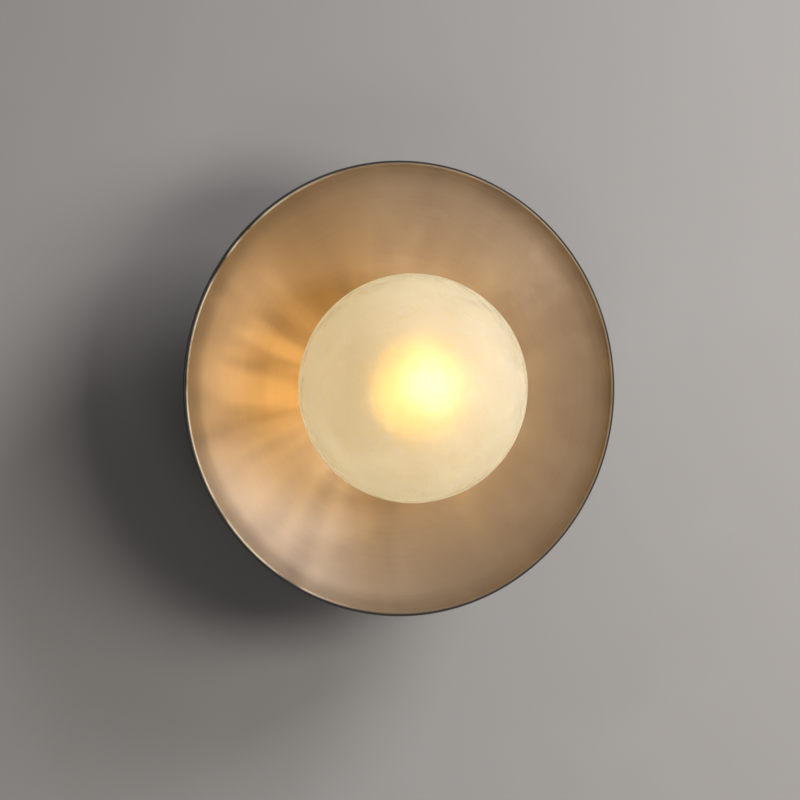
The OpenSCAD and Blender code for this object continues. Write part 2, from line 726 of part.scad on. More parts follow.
module bulb_glass() color("#f4ead6") bulb_place() rotate_extrude()
    polygon(concat(envelope(0), reversed(envelope(envelope_t))));

module bulb_cap() color("silver") bulb_place() rotate_extrude() {
    thread = waves(cap_r - cap_wave, cap_wave, thread_low, thread_high);
    polygon(concat(
        [[cap_foot_r, cap_foot]], thread, [[cap_r, cap_h]], [[cap_r - cap_t, cap_h]],
        [for (p = reversed(thread)) p - [cap_t, 0]], [[cap_foot_r - cap_t, cap_foot]]));
}

module bulb_insulator() color("#15110f") bulb_place() rotate_extrude()
    polygon([[contact_r + fit, 1.3], [cap_r - 2, cap_foot - 0.1], [cap_r - 2, cap_foot + 1.7],
        [contact_r + fit, contact_h + 0.4]]);

module bulb_contact() color("silver") bulb_place() rotate_extrude()
    polygon([[0, 0], [contact_r - 2, 0], [contact_r - 0.3, 0.7], [contact_r, 1.4], [contact_r, contact_h],
        [0, contact_h]]);

// Glass post that carries the filaments: its foot closes the neck, its pinched middle holds the low wires
// and its thin top holds the high wires
foot_z = glass_low + 1;
foot_r = glass_neck - envelope_t - 0.1;
pinch_low = 33;
pinch_high = 42;
pinch_r = 3.5;
post_r = 1.5;
post_gap = 22;
post_top = bulb_len - post_gap;
module filament_stem() color("#eef3f2") bulb_place() difference() {
    rotate_extrude() polygon([[0, foot_z], [foot_r, foot_z], [foot_r - 0.2, foot_z + 1.5],
        [pinch_r * 1.4, (foot_z + pinch_low) / 2], [pinch_r, pinch_low], [pinch_r, pinch_high],
        [pinch_r * 0.75, pinch_high + 2], [post_r, pinch_high + 4], [post_r, post_top - 1],
        [post_r / 2, post_top], [0, post_top]]);
    cage_wires(cage_wire_r + fit);
}

// The filaments stand in a cage that widens to the front. A wire from the post ends under each filament's
// low end and over its high end.
cage_low_r = 6;
cage_low_z = 45;
cage_high_r = 11;
cage_gap = 24;
cage_high_z = bulb_len - cage_gap;
cage_wire_r = 0.3;
wire_root = 0.75;
wire_fall = 2;
filament_r = 1;
filament_gap = 0.4;
function cage_end(i, r, z) = let (a = 45 + 360 * i / filament_count) [r * cos(a), r * sin(a), z];

module cage_wires(r) for (i = [0 : filament_count - 1]) {
    rod(cage_end(i, wire_root, cage_low_z - wire_fall), cage_end(i, cage_low_r, cage_low_z), r);
    rod(cage_end(i, wire_root, cage_high_z + wire_fall / 2), cage_end(i, cage_high_r, cage_high_z), r);
}

module filament_wires() color("silver") bulb_place() cage_wires(cage_wire_r);

module led_filaments() color("#ffd27a") bulb_place() for (i = [0 : filament_count - 1])
    rod(cage_end(i, cage_low_r, cage_low_z + filament_gap),
        cage_end(i, cage_high_r, cage_high_z - filament_gap), filament_r);

mounting_plate();
cable_grommet();
earth_screw();
earth_washers();
earth_eyelets();
terminal_block();
terminal_sleeves();
terminal_screws();
block_screw();
canopy();
canopy_screws();
earth_wire();
earth_lead();
earth_tag();
live_wire();
neutral_wire();
threaded_tube();
back_nut();
lock_washer();
stem();
backing_washer();
dish_shell();
dish_liner();
gallery();
globe_clips();
clip_rivets();
neck_gasket();
holder_bracket();
holder_screws();
lampholder_body();
lampholder_shell();
centre_contact();
holder_terminals();
holder_terminal_screws();
globe_glass();
bulb_glass();
bulb_cap();
bulb_insulator();
bulb_contact();
filament_stem();
filament_wires();
led_filaments();
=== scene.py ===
# %% [markdown]
# # A wall sconce, lit
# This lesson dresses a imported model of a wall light. The real one is a shallow spun dish, black behind and
# brushed brass inside, that stands off the wall on a short stem. A frosted glass globe sits in the dish's
# middle with a filament bulb inside it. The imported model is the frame: its pieces give every place and size.
# New pieces are made only where the look needs a finer surface, and the rest get better finishes.

# %%
import math

import bpy
import numpy as np
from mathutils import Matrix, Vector


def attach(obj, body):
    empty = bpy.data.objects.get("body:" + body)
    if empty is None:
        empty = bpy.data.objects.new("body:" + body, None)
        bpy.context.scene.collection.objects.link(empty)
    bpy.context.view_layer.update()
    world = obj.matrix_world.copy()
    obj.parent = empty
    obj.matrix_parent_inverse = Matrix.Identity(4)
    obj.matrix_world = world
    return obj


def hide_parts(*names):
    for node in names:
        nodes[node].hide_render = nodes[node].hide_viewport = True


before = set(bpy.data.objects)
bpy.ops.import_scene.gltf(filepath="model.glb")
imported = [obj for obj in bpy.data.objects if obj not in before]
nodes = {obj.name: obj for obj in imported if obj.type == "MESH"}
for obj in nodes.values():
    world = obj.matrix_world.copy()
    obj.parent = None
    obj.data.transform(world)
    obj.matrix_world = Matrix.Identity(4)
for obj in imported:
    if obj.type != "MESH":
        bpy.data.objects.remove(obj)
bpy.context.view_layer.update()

# %% [markdown]
# ## Surfaces from arrays
# Most of this light is spun, turned or blown, so most pieces are surfaces of revolution. They could be made
# with a Screw modifier, but a grid of points worked out at once gives full control of poles, seams and
# which way the faces look. One function turns any such grid into a mesh, another makes the grid.

# %%
def grid_mesh(name, grid, loop=False, poles=None):
    """A mesh from grid[i, j], a point for step i along the section and step j around it. j always closes on
    itself. i closes on itself when loop is true; otherwise each end is shut by a fan to its pole point.
    The faces are turned over as one if the signed volume they enclose is negative."""
    n, m = grid.shape[:2]
    points = grid.reshape(-1, 3)
    index = np.arange(n * m).reshape(n, m)
    if loop:
        index = np.vstack([index, index[:1]])
    after = np.roll(index, -1, axis=1)
    quads = np.stack([index[:-1], index[1:], after[1:], after[:-1]], -1).reshape(-1, 4)
    fans = np.zeros((0, 3), int)
    if poles is not None:
        points = np.vstack([points, poles])
        first, last = n * m, n * m + 1
        fans = np.vstack([
            np.stack([np.full(m, first), index[0], after[0]], -1),
            np.stack([np.full(m, last), after[-1], index[-1]], -1),
        ])
    corners = np.concatenate([quads.ravel(), fans.ravel()])
    counts = np.concatenate([np.full(len(quads), 4), np.full(len(fans), 3)])
    thirds = np.vstack([quads[:, [0, 1, 2]], quads[:, [0, 2, 3]], fans])
    a, b, c = (points[thirds[:, k]] for k in range(3))
    if np.einsum("ij,ij->", a, np.cross(b, c)) < 0:
        corners = np.concatenate([quads[:, ::-1].ravel(), fans[:, ::-1].ravel()])
    mesh = bpy.data.meshes.new(name)
    mesh.vertices.add(len(points))
    mesh.vertices.foreach_set("co", points.astype(np.float32).ravel())
    mesh.loops.add(len(corners))
    mesh.loops.foreach_set("vertex_index", corners.astype(np.int32))
    mesh.polygons.add(len(counts))
    mesh.polygons.foreach_set("loop_start", np.concatenate([[0], np.cumsum(counts)[:-1]]).astype(np.int32))
    mesh.polygons.foreach_set("use_smooth", np.ones(len(counts), bool))
    mesh.update(calc_edges=True)
    mesh.validate()
    piece = bpy.data.objects.new(name, mesh)
    bpy.context.scene.collection.objects.link(piece)
    return piece


def spin(section, steps):
    """The grid of a section spun about the Y axis: the point at angle t is (R cos t, -H, R sin t), where the
    section gives radius R and distance from the wall H, both in millimetres."""
    r, h = np.asarray(section, float).T[:, :, None] / 1000
    t = np.linspace(0, 2 * math.pi, steps, endpoint=False)
    return np.stack([r * np.cos(t), -h + 0 * t, r * np.sin(t)], -1)


def crease(piece, degrees=35):
    """Keeps edges sharper than this angle crisp, so that turned corners catch the light."""
    piece.data.set_sharp_from_angle(angle=math.radians(degrees))
    return piece


print("grid_mesh, spin and crease are ready")

# %% [markdown]
# ## The dish's section
# A spun dish is one line turned round an axis: a flat floor, a tight well for the globe, a long slope that
# grows a little steeper, and a band at the rim that turns up. Each bend is an arc that starts in the
# direction of the last one, so the metal has no kink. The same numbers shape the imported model.

# %%
def arc(start, a, b, radius, steps):
    """Points and directions of an arc from start, turning from angle a to angle b, in degrees. Its centre is
    start moved sideways by the radius; each point is the centre moved back along its own normal."""
    side = 1 if b > a else -1
    first = math.radians(a)
    centre = np.array(start[:2]) + side * radius * np.array([-math.sin(first), math.cos(first)])
    t = np.radians(np.linspace(a, b, steps + 1)[1:])
    points = centre + side * radius * np.stack([np.sin(t), -np.cos(t)], -1)
    return np.column_stack([points, np.degrees(t)])


# Millimetres and degrees. Each _h is a distance from the wall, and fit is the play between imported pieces.
fit = 0.05
floor_h, well_r, corner_r, fillet_r = 48.0, 52.0, 4.0, 4.0
dish_r, sheet_t, sheet_gap = 150.0, 1.0, 0.3
slope_in, slope_out, rim_slope, band_w, bead_d = 20.5, 24.5, 32.0, 12.0, 1.8
globe_r, globe_h, glass_t, neck_r, neck_h = 75.0, 122.443, 3.0, 40.0, 51.0
hole_r, floor_step, globe_gap = 5.05, 20.0, 4.75
bead_r, bead_lift, band_share = bead_d / 2, bead_d / 8, 0.6
lip_r = dish_r - sheet_t - 2 * fit - bead_d
nearest = globe_r + globe_gap + fillet_r
fillet_h = globe_h - math.sqrt(nearest**2 - (well_r + fillet_r) ** 2)


def dish_line(end_r):
    """The dish's front line as radius, height and direction, out to radius end_r."""
    floor = [[hole_r, floor_h, 0], [floor_step, floor_h, 0], [well_r - corner_r, floor_h, 0]]
    corner = arc(floor[-1], 0, 90, corner_r, 10)
    edge = arc([well_r, fillet_h], 90, slope_in, fillet_r, 12)
    sines = math.sin(math.radians(slope_out)) - math.sin(math.radians(slope_in))
    bowl = arc(edge[-1], slope_in, slope_out, (lip_r - band_w - edge[-1][0]) / sines, 64)
    turn = math.sin(math.radians(rim_slope)) - math.sin(math.radians(slope_out))
    band = arc(bowl[-1], slope_out, rim_slope, band_share * band_w / turn, 16)
    last = band[-1]
    tip_glow_mask = [end_r, last[1] + (end_r - last[0]) * math.tan(math.radians(rim_slope)), rim_slope]
    return np.vstack([floor, corner, [[well_r, fillet_h, 90]], edge, bowl, band, [tip_glow_mask]])


def behind(line, depth):
    """The same line moved back through the metal by a depth, square to its own direction."""
    t = np.radians(line[:, 2])
    return line[:, :2] + depth * np.stack([np.sin(t), -np.cos(t)], -1)


line = dish_line(lip_r)
lip_h = line[-1, 1]
rim_h = lip_h + bead_lift + bead_r
print(f"dish line of {len(line)} points; its rim is {rim_h:.2f} mm from the wall")

# %% [markdown]
# ## The brass liner
# The inner sheet is spun from brass, with its edge rolled into a thin round bead. The section runs up the
# front, over the bead and back down behind, and closes on itself, so the sheet has its real thickness.

# %%
around_dish, back_reach = 320, 0.2
bead_c = np.array([lip_r + bead_r, lip_h + bead_lift])
front = line[:, :2]
back = behind(dish_line(lip_r + back_reach), sheet_t)
t = np.radians(np.linspace(190, -92, 34))
bead = bead_c + bead_r * np.stack([np.cos(t), np.sin(t)], -1)
section = np.vstack([front, bead, back[::-1]])
liner = crease(grid_mesh("dish_liner_spun", spin(section, around_dish), loop=True), degrees=50)
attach(liner, "fitting")
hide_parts("dish_liner")
print(f"liner: {len(liner.data.polygons)} faces")

# %% [markdown]
# ## The black shell
# The outer sheet nests behind the liner and ends in a short upright flange round the bead. That flange is
# the thin black line that frames the dish from the front. Its two edges are broken by tiny chamfers, as
# paint never holds a knife edge.

# %%
flange_in, flange_drop, chamfer = dish_r - sheet_t, 0.5, 0.15
shell_end = dish_r - fit - (2 * sheet_t + sheet_gap) * math.sin(math.radians(rim_slope))
shell_line = dish_line(shell_end)
sloped = (shell_line[:, 2] > 0)[:, None]
gap = sloped * (behind(shell_line, sheet_gap) - shell_line[:, :2])
inner = behind(shell_line, sheet_t) + gap
outer = behind(shell_line, 2 * sheet_t) + gap
meets = np.interp(flange_in, inner[-2:, 0], inner[-2:, 1])
inner = inner[inner[:, 0] < flange_in]
top, foot = rim_h - flange_drop, outer[-1, 1]
flange = [
    [flange_in, meets], [flange_in, top - chamfer], [flange_in + chamfer, top],
    [dish_r - chamfer, top], [dish_r, top - chamfer], [dish_r, foot + chamfer], [dish_r - chamfer, foot],
]
section = np.vstack([inner, flange, outer[::-1]])
shell = crease(grid_mesh("dish_shell_spun", spin(section, around_dish), loop=True))
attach(shell, "fitting")
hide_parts("dish_shell")
print(f"shell: {len(shell.data.polygons)} faces")

# %% [markdown]
# ## The blown globe
# The globe is blown into a mould, so its outside is true and its inside wanders by up to about three
# quarters of a millimetre. That wander bends the light of the bulb into soft patches. Here the inner face
# moves in and out by a sum of slow waves over the direction from the globe's middle.

# %%
def blown_wander(points, centre, size):
    """How far the glass moves at each point: four sine waves over its direction, along four fixed slants."""
    d = points - centre
    d = d / np.linalg.norm(d, axis=-1, keepdims=True)
    slants = np.array([[9, 4, 7], [-6, 11, 3], [5, -8, 12], [-13, -3, 8]], float)
    waves = np.sin(d @ slants.T + np.array([0.3, 1.7, 2.9, 4.1]))
    return size * waves.mean(-1, keepdims=True) * d


neck_in, inner_r, edge = neck_r - glass_t, globe_r - glass_t, 0.4
tip_angle, rings_of_globe, around_globe = 0.012, 120, 256
wander_size, calm_neck, calm_fade = 0.0009, 20, 30
a = np.linspace(tip_angle, math.pi - math.asin(neck_r / globe_r), rings_of_globe)
outside = np.stack([globe_r * np.sin(a), globe_h + globe_r * np.cos(a)], -1)
a = np.linspace(math.pi - math.asin(neck_in / inner_r), tip_angle, rings_of_globe)
inside = np.stack([inner_r * np.sin(a), globe_h + inner_r * np.cos(a)], -1)
foot = [[neck_r, neck_h + edge], [neck_r - edge, neck_h], [neck_in + edge, neck_h], [neck_in, neck_h + edge]]
section = np.vstack([outside, foot, inside])
glass = spin(section, around_globe)
centre = np.array([0, -globe_h, 0]) / 1000
first_inside = len(outside) + len(foot)
away_from_neck = np.clip((section[first_inside:, 1] - neck_h - calm_neck) / calm_fade, 0, 1)[:, None, None]
glass[first_inside:] += away_from_neck * blown_wander(glass[first_inside:], centre, wander_size)
tips = np.array([[0, -(globe_h + globe_r), 0], [0, -(globe_h + globe_r - glass_t), 0]]) / 1000
tips[1] += blown_wander(tips[1:2], centre, wander_size)[0]
globe = crease(grid_mesh("globe_blown", glass, poles=tips), degrees=50)
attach(globe, "globe")
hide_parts("globe_glass")
middle_ring = glass[first_inside + rings_of_globe // 2]
wander = np.ptp(np.linalg.norm(middle_ring - centre, axis=-1)) * 1000
print(f"globe: {len(globe.data.polygons)} faces; the wall varies by {wander:.2f} mm on one ring")

# %% [markdown]
# ## The bulb's envelope
# A clear bulb is a round front that flows into a narrow neck through a hollow shoulder. Two arcs that touch
# give that outline. The wall is even, so the inner line uses the same two centres.

# %%
tip_h, bulb_len, bulb_r, bulb_neck, bulb_t = 63.5, 100.0, 30.0, 12.0, 0.8
glass_low, neck_straight, pole_gap = 20.0, 4.0, 0.02


def envelope(wall):
    """The outline from the neck to the front: an arc about the shoulder's centre, then one about the bulb's.
    The shoulder's radius is the one that makes the two arcs touch: half of (rise squared - bulb radius squared
    + neck radius squared) over (bulb radius - neck radius)."""
    middle = bulb_len - bulb_r
    rise = middle - glass_low - neck_straight
    shoulder_r = (rise**2 - bulb_r**2 + bulb_neck**2) / (2 * (bulb_r - bulb_neck))
    out = bulb_neck + shoulder_r
    turn = math.atan2(rise, out)
    s = np.linspace(math.pi, math.pi - turn, 24)
    f = np.linspace(-turn, math.pi / 2 - pole_gap, 64)[1:]
    swing = shoulder_r + wall
    shoulder = np.stack([out + swing * np.cos(s), middle - rise + swing * np.sin(s)], -1)
    round_front = np.stack([(bulb_r - wall) * np.cos(f), middle + (bulb_r - wall) * np.sin(f)], -1)
    return np.vstack([[[bulb_neck - wall, glass_low]], shoulder, round_front]) + [0, tip_h]


section = np.vstack([envelope(0)[::-1], envelope(bulb_t)])
tips = np.array([[0, -(tip_h + bulb_len), 0], [0, -(tip_h + bulb_len - bulb_t), 0]]) / 1000
bulb = crease(grid_mesh("bulb_envelope", spin(section, 160), poles=tips), degrees=50)
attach(bulb, "bulb")
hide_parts("bulb_glass")
print(f"bulb: {len(bulb.data.polygons)} faces")

# %% [markdown]
# ## The threaded tube
# The hollow tube that clamps the stack is threaded from end to end. A true helix would need a seam, and at
# this size even rings look the same, so the section is a saw of rounded crests with the bore inside it.

# %%
tube_low, tube_high, tube_r, bore_r, pitch = 15.2, 54.7, 5.0, 3.5, 1.0
rise, first_crest, taper, bevel = 0.28, 0.4, 0.5, 0.2
h = np.arange(tube_low + first_crest, tube_high - first_crest, pitch / 6)
crests = np.stack([tube_r - rise + rise * np.cos(2 * math.pi * (h - tube_low) / pitch), h], -1)
ends = [[tube_r - taper, tube_high], [bore_r + bevel, tube_high], [bore_r, tube_high - bevel]]
feet = [[bore_r, tube_low + bevel], [bore_r + bevel, tube_low], [tube_r - taper, tube_low]]
section = np.vstack([crests, ends, feet])
tube = crease(grid_mesh("threaded_tube_cut", spin(section, 64), loop=True), degrees=60)
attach(tube, "fitting")
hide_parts("threaded_tube")
print(f"threaded tube: {len(tube.data.polygons)} faces")

# %% [markdown]
# ## The wires
# Each wire leaves its clamp, bends over in a smooth curve and runs into its next clamp. A tube is a small
# circle carried along that curve. The circle's two axes are carried from point to point without twist, and
# a UV map says how far along and how far round each point is, for the stripes of the earth wire.

# %%
def curve(a, b, c, d, steps):
    """A smooth curve with four control points, as a share-weighted sum of them."""
    s = np.linspace(0, 1, steps)[:, None]
    a, b, c, d = (np.array(p, float) for p in (a, b, c, d))
    return (1 - s) ** 3 * a + 3 * s * (1 - s) ** 2 * b + 3 * s**2 * (1 - s) * c + s**3 * d


def wire(name, points, radius, node):
    """A round wire along points given as across, up and out from the wall, in millimetres. Each ring is the
    path's point plus radius times (u cos t + w sin t), with u and w square to the path."""
    p = np.asarray(points, float)
    keep = np.concatenate([[True], np.linalg.norm(np.diff(p, axis=0), axis=1) > 0.05])
    p = (p[keep] @ np.array([[1, 0, 0], [0, 0, 1], [0, -1, 0]])) / 1000
    d = np.gradient(p, axis=0)
    d /= np.linalg.norm(d, axis=1, keepdims=True)
    u = np.zeros_like(d)
    u[0] = np.cross(d[0], [0.3, 0.2, 0.93])
    for i in range(len(d)):
        side = u[max(i - 1, 0)]
        side = side - (side @ d[i]) * d[i]
        u[i] = side / np.linalg.norm(side)
    w = np.cross(d, u)
    t = np.linspace(0, 2 * math.pi, 20, endpoint=False)
    ring = u[:, None] * np.cos(t)[:, None] + w[:, None] * np.sin(t)[:, None]
    piece = grid_mesh(name, p[:, None] + radius / 1000 * ring, poles=p[[0, -1]])
    along = np.concatenate([[0], np.cumsum(np.linalg.norm(np.diff(p, axis=0), axis=1))])
    uv = np.stack(np.broadcast_arrays(t / (2 * math.pi), along[:, None] * 100), -1).reshape(-1, 2)
    uv = np.vstack([uv, [[0, 0], [0, along[-1] * 100]]])
    corner = np.zeros(len(piece.data.loops), np.int32)
    piece.data.loops.foreach_get("vertex_index", corner)
    layer = piece.data.uv_layers.new(name="UVMap")
    layer.uv.foreach_set("vector", uv[corner].astype(np.float32).ravel())
    crease(piece, degrees=60)
    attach(piece, "fitting")
    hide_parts(node)
    return piece


wire_r, pole_pitch, clamp_h, pair_gap = 1.0, 11, 7.5, 1.2


def supply_route(side, pole):
    """From a pole of the block, up over into the threaded tube, through it and out to a holder terminal."""
    start = np.array([pole * pole_pitch, -25.5, clamp_h])
    a, b = start + [0, 6.5, 0], np.array([side * pair_gap, 0, tube_low])
    c, d = np.array([side * pair_gap, 0, tube_high]), np.array([side * 9.0, 0, 57.2])
    return np.vstack([
        start, curve(a, a + [0, 9, -1], b - [0, 0, 7], b, 28), curve(b, b + [0, 0, 9], c - [0, 0, 9], c, 16),
        curve(c, c + [0, 0, 2.2], d - [side * 3, 0, 0], d, 14), d + [side * 5, 0, 0],
    ])


a, b = np.array([pole_pitch, -19, clamp_h]), np.array([24, 12, 4.6])
earth = wire("earth_wire_run", np.vstack([
    a - [0, 6.5, 0], curve(a, a + [0, 9, 2], b - [0, 9, -2], b, 32), b + [0, 3.4, 0]]),
    wire_r, "earth_wire")
a, b = np.array([0, 15.5, 22.2]), np.array([14, 22, 5.45])
lead = wire("earth_lead_run", np.vstack([
    a - [0, 3.4, 0], curve(a, a + [0, 9, 0], b - [9, 0, 0], b, 32), b + [3.4, 0, 0]]),
    wire_r, "earth_lead")
live = wire("live_wire_run", supply_route(1, 0), wire_r, "live_wire")
neutral = wire("neutral_wire_run", supply_route(-1, -1), wire_r, "neutral_wire")
print("wires:", [len(w.data.polygons) for w in (earth, lead, live, neutral)])

# %% [markdown]
# ## Tools for node trees
# A finish is a tree of nodes. Each node could be wired by hand in several lines, so a few small helpers add
# a node with its inputs, do one sum, stretch a range, and split a position into parts about the light's
# axis. Effects that several finishes share are node groups with named inputs and outputs.

# %%
def add(tree, kind, inputs=None, **settings):
    """Adds a node, sets its properties, and fills its inputs with numbers or links from other outputs."""
    made = tree.nodes.new(kind)
    for key, value in settings.items():
        setattr(made, key, value)
    for key, value in (inputs or {}).items():
        socket = made.inputs[key]
        if isinstance(value, bpy.types.NodeSocket):
            tree.links.new(value, socket)
        else:
            socket.default_value = value
    return made


def effect(name, inputs, outputs):
    """A new node group with named inputs and outputs, and its two end nodes."""
    group = bpy.data.node_groups.new(name, "ShaderNodeTree")
    kinds = {"value": "NodeSocketFloat", "vector": "NodeSocketVector", "colour": "NodeSocketColor"}
    for label, kind, start in inputs:
        socket = group.interface.new_socket(label, in_out="INPUT", socket_type=kinds[kind])
        if start is not None:
            socket.default_value = start
    for label, kind in outputs:
        group.interface.new_socket(label, in_out="OUTPUT", socket_type=kinds[kind])
    return group, group.nodes.new("NodeGroupInput").outputs, group.nodes.new("NodeGroupOutput").inputs


def reckon(tree, operation, *values, clamp=False):
    """One Math node's result."""
    made = add(tree, "ShaderNodeMath", operation=operation, use_clamp=clamp)
    for socket, value in zip(made.inputs, values):
        if isinstance(value, bpy.types.NodeSocket):
            tree.links.new(value, socket)
        else:
            socket.default_value = value
    return made.outputs[0]


def times(tree, a, b):
    """One value times another."""
    return reckon(tree, "MULTIPLY", a, b)


def spread(tree, value, low, high, out_low=0.0, out_high=1.0):
    """A value's range low..high stretched to out_low..out_high and held there."""
    return add(tree, "ShaderNodeMapRange", {0: value, 1: low, 2: high, 3: out_low, 4: out_high}).outputs[0]


least_radius = 0.0001


def about_axis(tree, vector):
    """Splits a position into its radius from the Y axis, the root of x squared plus z squared, its place along
    Y, and its unit direction from the axis, x and z over the radius, which is held above a tenth of a
    millimetre."""
    part = add(tree, "ShaderNodeSeparateXYZ", {0: vector}).outputs
    squares = reckon(tree, "ADD", times(tree, part[0], part[0]), times(tree, part[2], part[2]))
    radius = reckon(tree, "SQRT", squares)
    safe = reckon(tree, "MAXIMUM", radius, least_radius)
    return radius, part[1], reckon(tree, "DIVIDE", part[0], safe), reckon(tree, "DIVIDE", part[2], safe)


print("node helpers are ready")

# %% [markdown]
# ## Rings and rays
# A tool on a spinning dish leaves rings round its axis, and a brushed dish shines in rays that run out from
# it. Both are plain noise, read in coordinates that change fast along the radius for the rings, and fast
# round the axis for the rays.

# %%
rings, into, out = effect("spin_rings", [
    ("Vector", "vector", None), ("Rings per metre", "value", 900.0), ("Break up", "value", 1.5),
], [("Height", "value"), ("Line", "value")])
radius, along, east, north = about_axis(rings, into["Vector"])
density, sway = into["Rings per metre"], into["Break up"]
where = add(rings, "ShaderNodeCombineXYZ", {
    0: times(rings, radius, density), 1: times(rings, along, density), 2: times(rings, east, sway)})
noise = add(rings, "ShaderNodeTexNoise", {
    "Vector": where.outputs[0], "Scale": 1.0, "Detail": 3.0, "W": times(rings, north, sway),
}, noise_dimensions="4D")
rings.links.new(noise.outputs[0], out["Height"])
rings.links.new(spread(rings, noise.outputs[0], 0.35, 0.65), out["Line"])

rays, into, out = effect("rays_from_axis", [
    ("Vector", "vector", None), ("Count", "value", 3.0), ("Drift", "value", 4.0),
], [("Ray", "value")])
radius, along, east, north = about_axis(rays, into["Vector"])
count, drift = into["Count"], into["Drift"]
where = add(rays, "ShaderNodeCombineXYZ", {
    0: times(rays, east, count), 1: times(rays, north, count), 2: times(rays, radius, drift)})
noise = add(rays, "ShaderNodeTexNoise", {
    "Vector": where.outputs[0], "Scale": 1.0, "Detail": 1.2, "Roughness": 0.5})
rays.links.new(spread(rays, noise.outputs[0], 0.26, 0.74), out["Ray"])
print("effects:", [group.name for group in (rings, rays)])

# %% [markdown]
# ## Mottle and grain
# No real surface is one flat tone. The mottle mixes three tones by a broad and a finer noise, and also says
# where its deep patches lie, so that roughness can follow them. The grain is a fine noise for relief, with
# a mask of its highest specks.

# %%
finer = 3.7
mottle, into, out = effect("slow_mottle", [
    ("Vector", "vector", None), ("Scale", "value", 12.0), ("Plain", "colour", None), ("Deep", "colour", None),
    ("Bright", "colour", None),
], [("Color", "colour"), ("Patch", "value")])
broad = add(mottle, "ShaderNodeTexNoise", {
    "Vector": into["Vector"], "Scale": into["Scale"], "Detail": 3.0, "Roughness": 0.55, "Distortion": 0.4})
fine = add(mottle, "ShaderNodeTexNoise", {
    "Vector": into["Vector"], "Scale": times(mottle, into["Scale"], finer), "Detail": 4.0})
deep = spread(mottle, broad.outputs[0], 0.42, 0.68)
bright = times(mottle, spread(mottle, fine.outputs[0], 0.48, 0.72), 0.7)
mixed = add(mottle, "ShaderNodeMix", {0: deep, 6: into["Plain"], 7: into["Deep"]}, data_type="RGBA")
mixed = add(mottle, "ShaderNodeMix", {0: bright, 6: mixed.outputs[2], 7: into["Bright"]}, data_type="RGBA")
mottle.links.new(mixed.outputs[2], out["Color"])
mottle.links.new(deep, out["Patch"])

grain, into, out = effect("fine_grain", [
    ("Vector", "vector", None), ("Scale", "value", 900.0),
], [("Height", "value"), ("Speck", "value")])
noise = add(grain, "ShaderNodeTexNoise", {"Vector": into["Vector"], "Scale": into["Scale"], "Detail": 2.0})
grain.links.new(noise.outputs[0], out["Height"])
grain.links.new(spread(grain, noise.outputs[0], 0.55, 0.75), out["Speck"])
print("effects:", [group.name for group in (mottle, grain)])

# %% [markdown]
# ## Where a finish changes
# Hands, cloths and dust change a finish in places, and painted light and shade is laid on in the same
# kinds of places: in a band at one radius, from the middle outwards or along the axis, on one side, or on the
# faces that look up. Each of these groups puts out a mask from 0 to 1.

# %%
# A band at one radius: worn edges, and also a painted highlight on the dish's lip.
wear_or_sheen_band, into, out = effect("band_of_wear_or_sheen", [
    ("Vector", "vector", None), ("Radius", "value", 0.15), ("Width", "value", 0.001),
    ("Break up", "value", 90.0),
], [("Mask", "value")])
radius, along, east, north = about_axis(wear_or_sheen_band, into["Vector"])
miss = reckon(wear_or_sheen_band, "ABSOLUTE", reckon(wear_or_sheen_band, "SUBTRACT", radius, into["Radius"]))
off = reckon(wear_or_sheen_band, "DIVIDE", miss, into["Width"])
noise = add(wear_or_sheen_band, "ShaderNodeTexNoise", {"Vector": into["Vector"], "Scale": into["Break up"], "Detail": 4.0})
band = reckon(wear_or_sheen_band, "SUBTRACT", 1.0, off, clamp=True)
wear_or_sheen_band.links.new(times(wear_or_sheen_band, band, spread(wear_or_sheen_band, noise.outputs[0], 0.35, 0.5)), out["Mask"])

fade, into, out = effect("outward_fade", [
    ("Vector", "vector", None), ("From", "value", 0.10), ("To", "value", 0.15),
], [("Across", "value"), ("Along", "value")])
radius, along, east, north = about_axis(fade, into["Vector"])
for label, value in (("Across", radius), ("Along", along)):
    ramp = add(fade, "ShaderNodeMapRange", {0: value, 1: into["From"], 2: into["To"]},
               interpolation_type="SMOOTHSTEP")
    fade.links.new(ramp.outputs[0], out[label])

toward, into, out = effect("to_one_side", [
    ("Vector", "vector", None), ("Side", "vector", None), ("From", "value", 0.5), ("To", "value", 0.9),
], [("Mask", "value")])
radius, along, east, north = about_axis(toward, into["Vector"])
where = add(toward, "ShaderNodeCombineXYZ", {0: east, 2: north})
facing = add(toward, "ShaderNodeVectorMath", {0: where.outputs[0], 1: into["Side"]}, operation="DOT_PRODUCT")
ramp = add(toward, "ShaderNodeMapRange", {0: facing.outputs["Value"], 1: into["From"], 2: into["To"]},
           interpolation_type="SMOOTHSTEP")
toward.links.new(ramp.outputs[0], out["Mask"])

dust, into, out = effect("settled_dust", [
    ("Vector", "vector", None), ("Amount", "value", 0.15),
], [("Mask", "value")])
up = add(dust, "ShaderNodeSeparateXYZ", {0: add(dust, "ShaderNodeNewGeometry").outputs["Normal"]}).outputs[2]
noise = add(dust, "ShaderNodeTexNoise", {"Vector": into["Vector"], "Scale": 60.0, "Detail": 5.0})
lying = times(dust, spread(dust, up, 0.2, 1.0), spread(dust, noise.outputs[0], 0.35, 0.7))
dust.links.new(times(dust, lying, into["Amount"]), out["Mask"])
print("effects:", [group.name for group in (wear_or_sheen_band, fade, toward, dust)])

# %% [markdown]
# ## Placing effects in a finish
# Every finish is one Principled shader. Numbers that hold all over are set on its own sockets. What changes
# over the surface comes from the groups above, read at Object coordinates, so it stays on the piece.

# %%
def finish(name, **numbers):
    """A material with its Principled shader, Object coordinates, and plain numbers on the shader's sockets."""
    made = bpy.data.materials.new(name)
    made.use_nodes = True
    tree = made.node_tree
    shader = tree.nodes["Principled BSDF"]
    for label, value in numbers.items():
        shader.inputs[label.replace("_", " ")].default_value = value
    return made, tree, shader, add(tree, "ShaderNodeTexCoord").outputs["Object"]


